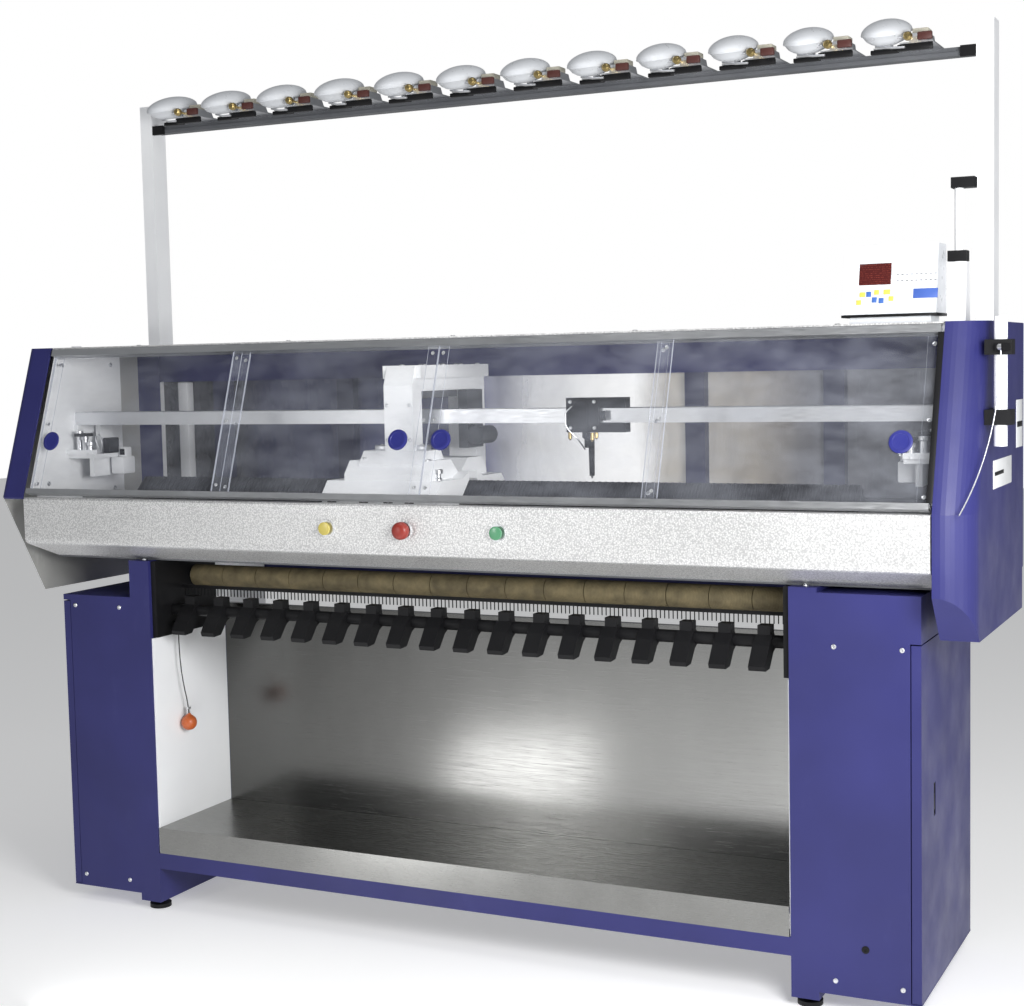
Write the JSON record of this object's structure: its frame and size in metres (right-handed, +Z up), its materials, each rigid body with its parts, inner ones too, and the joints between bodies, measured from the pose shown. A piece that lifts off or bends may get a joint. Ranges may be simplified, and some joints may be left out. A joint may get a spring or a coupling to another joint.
{
  "type": "flat-bed knitting machine",
  "caption": "Power flat-bed knitting machine with a sliding carriage and yarn feeder behind clear doors, side cabinets, a take-down roller over a shelf and an overhead yarn tension bar",
  "frame": {"origin": "on the floor under the middle of the machine's overall box", "axes": "+X to the operator's right along the needle beds, -Y to the front where the operator stands, +Z up"},
  "size_m": [2.524, 0.64, 2.1006],
  "materials": {
    "blue_paint": "fine-textured indigo powder coat",
    "black_metal": "satin black paint",
    "stainless": "brushed stainless sheet",
    "white_paint": "semi-gloss off-white paint",
    "grey_paint": "satin grey paint",
    "dark_steel": "oiled dark steel",
    "bright_steel": "ground bright steel",
    "silver_paint": "silver hammertone paint",
    "yellow_plastic": "glossy translucent yellow",
    "red_plastic": "glossy red",
    "green_plastic": "glossy green",
    "clear_sheet": "clear polished sheet",
    "smoked_sheet": "smoked clear pane",
    "blue_plastic": "glossy blue",
    "belt_rubber": "matte black toothed belt",
    "alloy": "turned aluminium",
    "roller_rubber": "matte tan rubber",
    "white_plastic": "smooth white moulding",
    "brass_knob": "polished brass",
    "cord_fabric": "thin braided black cord",
    "orange_plastic": "glossy orange-red"
  },
  "bodies": {
    "frame": {"leg_frames": "blue_paint", "levelling_feet": "black_metal", "cross_beams": "blue_paint", "shelf_tray": "stainless", "back_panel": "stainless", "inner_walls": "white_paint", "take_down_plates": "black_metal", "left_cabinet": "blue_paint", "right_cabinet": "blue_paint", "electronics_rack": "grey_paint", "bed_girders": "grey_paint", "needle_beds": "dark_steel", "needles": "dark_steel", "feeder_rails": "bright_steel", "front_cover": "silver_paint", "button_bezels": "bright_steel", "left_end_cover": "blue_paint", "right_end_cover": "blue_paint", "end_panels": "white_paint", "top_cover": "silver_paint", "rear_frame": "blue_paint", "rear_screens": "smoked_sheet", "door_tracks": "bright_steel", "drive_belts": "belt_rubber", "motors": "black_metal", "fabric_comb": "black_metal", "yarn_posts": "white_paint", "yarn_bar": "grey_paint", "tension_domes": "white_plastic", "tension_plates": "bright_steel", "tension_knobs": "brass_knob", "control_box": "white_plastic", "tube_clamps": "black_metal", "pull_cord": "cord_fabric", "pull_knob": "orange_plastic"},
    "left_cabinet_door": {"left_cabinet_door": "blue_paint"},
    "right_cabinet_door": {"right_cabinet_door": "blue_paint"},
    "button_yellow": {"button_yellow": "yellow_plastic"},
    "button_red": {"button_red": "red_plastic"},
    "button_green": {"button_green": "green_plastic"},
    "door_1": {"door_1": "clear_sheet", "door_pull_1": "blue_plastic"},
    "door_2": {"door_2": "clear_sheet", "door_pull_2": "blue_plastic"},
    "door_3": {"door_3": "clear_sheet", "door_pull_3": "blue_plastic"},
    "door_4": {"door_4": "clear_sheet", "door_pull_4": "blue_plastic"},
    "carriage": {"carriage_bridge": "white_paint", "cam_boxes": "white_paint", "feeder_selector": "grey_paint"},
    "yarn_feeder": {"yarn_feeder": "black_metal"},
    "drive_pulley_left": {"drive_pulley_left": "alloy"},
    "drive_pulley_right": {"drive_pulley_right": "alloy"},
    "take_down": {"take_down_roller": "roller_rubber", "take_down_shaft": "bright_steel"},
    "motor_pulley": {"motor_pulley": "alloy"},
    "pressure": {"pressure_shaft": "black_metal"},
    "left_wire_arm": {"left_wire_arm": "bright_steel"},
    "right_wire_arm": {"right_wire_arm": "bright_steel"}
  },
  "joints": [
    {"name": "left_cabinet_door_hinge", "type": "hinge", "parent": "frame", "child": "left_cabinet_door", "pos_m": [-1.083, 0.293, 0.4], "axis": [0, 0, -1], "range_deg": [0, 100]},
    {"name": "right_cabinet_door_hinge", "type": "hinge", "parent": "frame", "child": "right_cabinet_door", "pos_m": [1.083, 0.293, 0.4], "axis": [0, 0, 1], "range_deg": [0, 100]},
    {"name": "button_yellow_press", "type": "slide", "parent": "frame", "child": "button_yellow", "axis": [0, 1, 0], "range_m": [0, 0.003], "stiffness_N_per_m": 800},
    {"name": "button_red_press", "type": "slide", "parent": "frame", "child": "button_red", "axis": [0, 1, 0], "range_m": [0, 0.003], "stiffness_N_per_m": 800},
    {"name": "button_green_press", "type": "slide", "parent": "frame", "child": "button_green", "axis": [0, 1, 0], "range_m": [0, 0.003], "stiffness_N_per_m": 800},
    {"name": "door_1_slide", "type": "slide", "parent": "frame", "child": "door_1", "axis": [1, 0, 0], "range_m": [0, 0.49]},
    {"name": "door_2_slide", "type": "slide", "parent": "frame", "child": "door_2", "axis": [1, 0, 0], "range_m": [-0.49, 0]},
    {"name": "door_3_slide", "type": "slide", "parent": "frame", "child": "door_3", "axis": [1, 0, 0], "range_m": [0, 0.49]},
    {"name": "door_4_slide", "type": "slide", "parent": "frame", "child": "door_4", "axis": [1, 0, 0], "range_m": [-0.465, 0]},
    {"name": "carriage_slide", "type": "slide", "parent": "frame", "child": "carriage", "axis": [1, 0, 0], "range_m": [-0.72, 0.99]},
    {"name": "feeder_slide", "type": "slide", "parent": "frame", "child": "yarn_feeder", "axis": [1, 0, 0], "range_m": [-1.29, 0.59]},
    {"name": "drive_pulley_left_turn", "type": "hinge", "parent": "frame", "child": "drive_pulley_left", "pos_m": [-1.06, 0.225, 1], "axis": [0, 1, 0], "range_deg": [-1200, 1600]},
    {"name": "drive_pulley_right_turn", "type": "hinge", "parent": "frame", "child": "drive_pulley_right", "pos_m": [1.06, 0.225, 1], "axis": [0, 1, 0], "range_deg": [-1200, 1600]},
    {"name": "take_down_spin", "type": "hinge", "parent": "frame", "child": "take_down", "pos_m": [0, -0.035, 0.838], "axis": [1, 0, 0], "continuous": true},
    {"name": "motor_pulley_spin", "type": "hinge", "parent": "frame", "child": "motor_pulley", "pos_m": [0.905, -0.035, 0.56], "axis": [1, 0, 0], "continuous": true},
    {"name": "pressure_release", "type": "hinge", "parent": "frame", "child": "pressure", "pos_m": [0, -0.12, 0.76], "axis": [1, 0, 0], "range_deg": [-25, 0]},
    {"name": "left_wire_swing", "type": "hinge", "parent": "frame", "child": "left_wire_arm", "pos_m": [-1.244, 0.026, 1.372], "axis": [-1, 0, 0], "range_deg": [0, 25], "stiffness_Nm_per_rad": 0.2},
    {"name": "right_wire_swing", "type": "hinge", "parent": "frame", "child": "right_wire_arm", "pos_m": [1.244, -0.184, 1.372], "axis": [-0.9011, 0.4337, 0], "range_deg": [0, 25], "stiffness_Nm_per_rad": 0.2}
  ],
  "couplings": [
    {"joint": "drive_pulley_left_turn", "follows": "carriage_slide", "rad_per_m": 26.3},
    {"joint": "drive_pulley_right_turn", "follows": "carriage_slide", "rad_per_m": 26.3},
    {"joint": "motor_pulley_spin", "follows": "take_down_spin", "ratio": 1}
  ]
}
